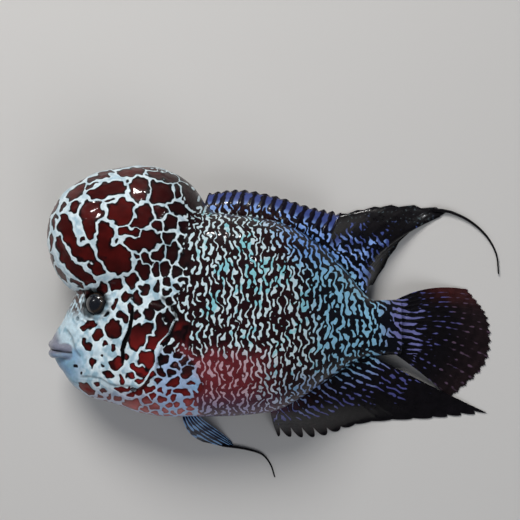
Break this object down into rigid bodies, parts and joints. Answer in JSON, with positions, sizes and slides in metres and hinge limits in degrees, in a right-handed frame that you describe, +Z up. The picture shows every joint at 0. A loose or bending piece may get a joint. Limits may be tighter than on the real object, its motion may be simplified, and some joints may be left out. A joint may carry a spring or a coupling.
{
  "type": "flowerhorn cichlid",
  "caption": "Still, life-size flowerhorn cichlid with a large forehead hump, lying on its right side with limp, trailing fins.",
  "frame": {"origin": "middle of the whole outline seen from above, on the surface that the fish lies on", "axes": "+X from the snout to the tail, +Y from the belly to the back, +Z up, out of the fish's left side"},
  "size_m": [0.1384, 0.0958, 0.0351],
  "materials": {
    "hump_skin": "wet soft skin, maroon patches between fine pale blue lines",
    "face_skin": "wet smooth skin, pale blue-white with maroon spots",
    "cheek_skin": "wet smooth skin, maroon blotches with pale lines",
    "flank_skin": "wet scales, near black with fine pale wavy lines and blue-green flecks",
    "eye": "clear wet eye with a black pupil and a dark bronze iris",
    "dark_fin": "wet membrane, black to navy with blue cells and streaks",
    "clear_fin": "wet, nearly clear membrane with thin rosy brown rays"
  },
  "bodies": {
    "root": {"hump": "hump_skin", "head": "face_skin", "lower_jaw": "face_skin", "torso": "flank_skin", "tail_stem": "flank_skin", "gill_cover_left": "cheek_skin", "gill_cover_right": "cheek_skin", "eye_left": "eye", "eye_right": "eye", "dorsal_fin_spiny": "dark_fin", "dorsal_fin_soft": "dark_fin", "dorsal_filament": "dark_fin", "anal_fin": "dark_fin", "caudal_fin": "dark_fin", "pectoral_fin_left": "clear_fin", "pectoral_fin_right": "clear_fin", "pelvic_fin_left": "dark_fin", "pelvic_fin_right": "dark_fin"}
  },
  "joints": []
}
